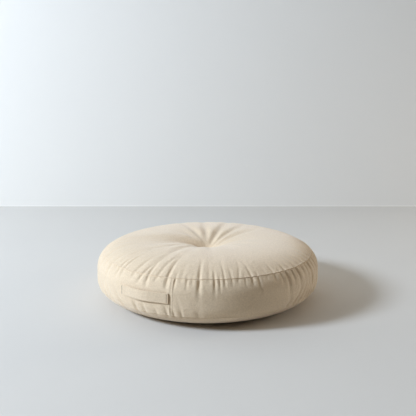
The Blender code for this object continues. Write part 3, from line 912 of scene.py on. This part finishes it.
class Nodes:
    """Short calls that add nodes to a material or the world."""

    def __init__(self, owner):
        self.tree = owner.node_tree

    def add(self, kind, **inputs):
        """A new node with these inputs."""
        node = self.tree.nodes.new(kind)
        for name, value in inputs.items():
            self.feed(node, name, value)
        return node

    def feed(self, node, name, value):
        """Links or sets the input of this name or number."""
        socket = node.inputs[name]
        if isinstance(value, bpy.types.NodeSocket):
            self.tree.links.new(value, socket)
        else:
            socket.default_value = value

    def math(self, operation, a, b=0.0):
        """The result of a sum, product, sine or the like."""
        node = self.tree.nodes.new("ShaderNodeMath")
        node.operation = operation
        self.feed(node, 0, a)
        self.feed(node, 1, b)
        return node.outputs[0]

    def noise(self, where, scale, detail, roughness=0.5):
        """Soft random values from 0 to 1."""
        node = self.add("ShaderNodeTexNoise", Vector=where, Scale=scale, Detail=detail, Roughness=roughness)
        return node.outputs["Fac"]

    def mix(self, factor, a, b):
        """Colour a where the factor is 0, and b where it is 1."""
        node = self.tree.nodes.new("ShaderNodeMix")
        node.data_type = "RGBA"
        for socket, value in zip(MIX_INPUTS, (factor, a, b)):
            self.feed(node, socket, value)
        return node.outputs[MIX_OUTPUT]

    def position(self):
        """The point in the object's own axes."""
        return self.add("ShaderNodeTexCoord").outputs["Object"]


def cloth_material(name, dark, light):
    """Matt twill: fine diagonal ribs crossed by threads, uneven yarn, and soft mottling."""
    material, shader = new_material(name)
    n = Nodes(material)
    flat = n.add("ShaderNodeUVMap")
    flat.uv_map = "cloth"
    split = n.add("ShaderNodeSeparateXYZ", Vector=flat.outputs["UV"])
    u, v = split.outputs["X"], split.outputs["Y"]
    slub = n.noise(flat.outputs["UV"], SLUB_SCALE, detail=3.0)
    wander = n.math("MULTIPLY", slub, WEAVE_WANDER)
    diagonal = n.math("ADD", n.math("ADD", u, v), wander)
    rib = n.math("SINE", n.math("MULTIPLY", diagonal, 2.0 * math.pi / RIB_PITCH))
    thread = n.math("SINE", n.math("MULTIPLY", n.math("ADD", u, wander), 2.0 * math.pi / THREAD_PITCH))
    crossed = n.math("MULTIPLY", n.math("MULTIPLY", rib, thread), CROSSED_SHARE)
    weave = n.math("ADD", n.math("MULTIPLY", rib, RIB_SHARE), crossed)

    body = n.position()
    mottle = n.noise(body, MOTTLE_SCALE, detail=4.0, roughness=0.55)
    grain = n.noise(body, GRAIN_SCALE, detail=2.0, roughness=0.6)
    tone = n.math("MULTIPLY", mottle, MOTTLE_SHARE)
    for part, share in ((grain, GRAIN_SHARE), (weave, WEAVE_SHARE), (slub, SLUB_SHARE)):
        tone = n.math("ADD", tone, n.math("MULTIPLY", part, share))
    n.feed(shader, "Base Color", n.mix(tone, dark, light))
    shader.inputs["Roughness"].default_value = COVER_ROUGHNESS
    shader.inputs["Specular IOR Level"].default_value = COVER_SPECULAR
    shader.inputs["Sheen Weight"].default_value = SHEEN_WEIGHT
    shader.inputs["Sheen Roughness"].default_value = SHEEN_ROUGHNESS
    shader.inputs["Sheen Tint"].default_value = SHEEN_TINT

    lumps = n.noise(body, LUMP_SCALE, detail=2.0)
    lumps = n.math("ADD", lumps, n.math("MULTIPLY", grain, LUMP_GRAIN_SHARE))
    soft = n.add("ShaderNodeBump", Height=lumps, Distance=LUMP_HEIGHT, Strength=1.0)
    fine = n.add("ShaderNodeBump", Height=weave, Distance=WEAVE_HEIGHT, Strength=WEAVE_STRENGTH)
    n.feed(fine, "Normal", soft.outputs["Normal"])
    n.feed(shader, "Normal", fine.outputs["Normal"])
    return material


def thread_material(name):
    """Matt cotton thread with fine uneven fibres, in a dark brown that is partly painted shade for the
    crease at the strap's ends.
    """
    material, shader = new_material(name)
    n = Nodes(material)
    fibres = n.noise(n.position(), THREAD_SCALE, detail=2.0, roughness=0.6)
    n.feed(shader, "Base Color", n.mix(fibres, THREAD_DARK_AND_PAINTED_SHADE, THREAD_COLOUR_AND_PAINTED_SHADE))
    shader.inputs["Roughness"].default_value = THREAD_ROUGHNESS
    bump = n.add("ShaderNodeBump", Height=fibres, Distance=FIBRE_HEIGHT, Strength=FIBRE_STRENGTH)
    n.feed(shader, "Normal", bump.outputs["Normal"])
    return material


def studio_material(name, colour):
    """Matt paint, hardly uneven."""
    material, shader = new_material(name)
    n = Nodes(material)
    mottle = n.noise(n.position(), STUDIO_MOTTLE_SCALE, detail=3.0)
    shade = [c * STUDIO_SHADE for c in colour[:3]] + [1.0]
    n.feed(shader, "Base Color", n.mix(mottle, shade, colour))
    shader.inputs["Roughness"].default_value = STUDIO_ROUGHNESS
    return material


def camera_axes():
    """The level ways to the camera's right and away from it."""
    heading = math.radians(CAMERA_AZIMUTH)
    right = Vector((math.cos(heading), math.sin(heading), 0.0))
    away = Vector((-math.sin(heading), math.cos(heading), 0.0))
    return right, away


def make_studio():
    """The pale floor, and a plain backdrop that it turns up into."""
    right, away = camera_axes()
    turns = np.radians(np.linspace(0.0, 90.0, SWEEP_POINTS))
    centre = SWEEP_DISTANCE - SWEEP_RADIUS
    rise = [(centre + SWEEP_RADIUS * math.sin(t), SWEEP_RADIUS - SWEEP_RADIUS * math.cos(t)) for t in turns]
    lines = {
        "studio_floor": ([(-STUDIO_FRONT, 0.0), (centre, 0.0)], FLOOR_COLOUR),
        "studio_backdrop": (rise + [(SWEEP_DISTANCE, STUDIO_HEIGHT)], BACKDROP_COLOUR),
    }
    for name, (line, colour) in lines.items():
        points = []
        for depth, height in line:
            for side in (-STUDIO_HALF_WIDTH, STUDIO_HALF_WIDTH):
                points.append(tuple(away * depth + right * side + Vector((0.0, 0.0, height))))
        faces = [(2 * i, 2 * i + 1, 2 * i + 3, 2 * i + 2) for i in range(len(line) - 1)]
        stage = link(name, mesh_from(name, points, faces))
        stage.data.materials.append(studio_material(name, colour))


def make_camera():
    """The camera at the photograph's angle, with colours shown plain."""
    data = bpy.data.cameras.new("camera")
    data.lens = LENS_MM
    data.sensor_width = SENSOR_MM
    data.sensor_fit = "HORIZONTAL"
    camera = link("camera", data)
    right, away = camera_axes()
    camera.location = right * CAMERA_ASIDE - away * CAMERA_DISTANCE + Vector((0.0, 0.0, CAMERA_HEIGHT))
    camera.rotation_euler = (math.radians(90.0 - CAMERA_PITCH), 0.0, math.radians(CAMERA_AZIMUTH))
    bpy.context.scene.camera = camera
    bpy.context.scene.view_settings.view_transform = "Standard"


def area_light(name, place, size, spread, power, colour):
    """A round soft light that faces the cushion, placed in the camera's axes."""
    right, away = camera_axes()
    side, depth, height = place
    data = bpy.data.lights.new(name, "AREA")
    data.shape = "DISK"
    data.size = size
    data.spread = math.radians(spread)
    data.energy = power
    data.color = colour
    light = link(name, data)
    light.location = right * side + away * depth + Vector((0.0, 0.0, height))
    light.rotation_euler = (Vector(LIGHT_AIM) - light.location).to_track_quat("-Z", "Y").to_euler()


def make_lights():
    """A large soft light on the left, and a weak one on the right, a little behind."""
    area_light("key", KEY_PLACE, KEY_SIZE, KEY_SPREAD, KEY_POWER, KEY_COLOUR)
    area_light("side", SIDE_PLACE, SIDE_SIZE, SIDE_SPREAD, SIDE_POWER, SIDE_COLOUR)


def make_sky():
    """A fill from all round that is dimmer low down and in front."""
    world = bpy.data.worlds.new("studio")
    bpy.context.scene.world = world
    world.use_nodes = True
    n = Nodes(world)
    way_to = n.add("ShaderNodeTexCoord").outputs["Generated"]
    way = n.add("ShaderNodeSeparateXYZ", Vector=way_to)
    height = n.math("DIVIDE", way.outputs["Z"], SKY_RISE)
    share = n.add("ShaderNodeClamp", Value=height).outputs["Result"]
    facing = n.tree.nodes.new("ShaderNodeVectorMath")
    facing.operation = "DOT_PRODUCT"
    n.feed(facing, 0, way_to)
    n.feed(facing, 1, -camera_axes()[1])
    front = n.math("DIVIDE", facing.outputs["Value"], SKY_FRONT_REACH)
    front = n.add("ShaderNodeClamp", Value=front).outputs["Result"]
    sky = n.mix(n.math("MULTIPLY", front, SKY_FRONT_DIM), n.mix(share, SKY_LOW, SKY_HIGH), BLACK)
    n.feed(world.node_tree.nodes["Background"], "Color", sky)


make_camera()
make_lights()
make_sky()
make_studio()
SECTION = Section(SECTION_KNOTS)
cover = make_cover(SECTION)
canvas = cloth_material("cream_canvas", COVER_DARK, COVER_LIGHT)
cover.data.materials.append(canvas)
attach(cover, "root")
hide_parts("cushion")
strap = make_strap(SECTION)
strap.data.materials.append(canvas)
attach(strap, "root")
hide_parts("handle")
make_stitches(SECTION)
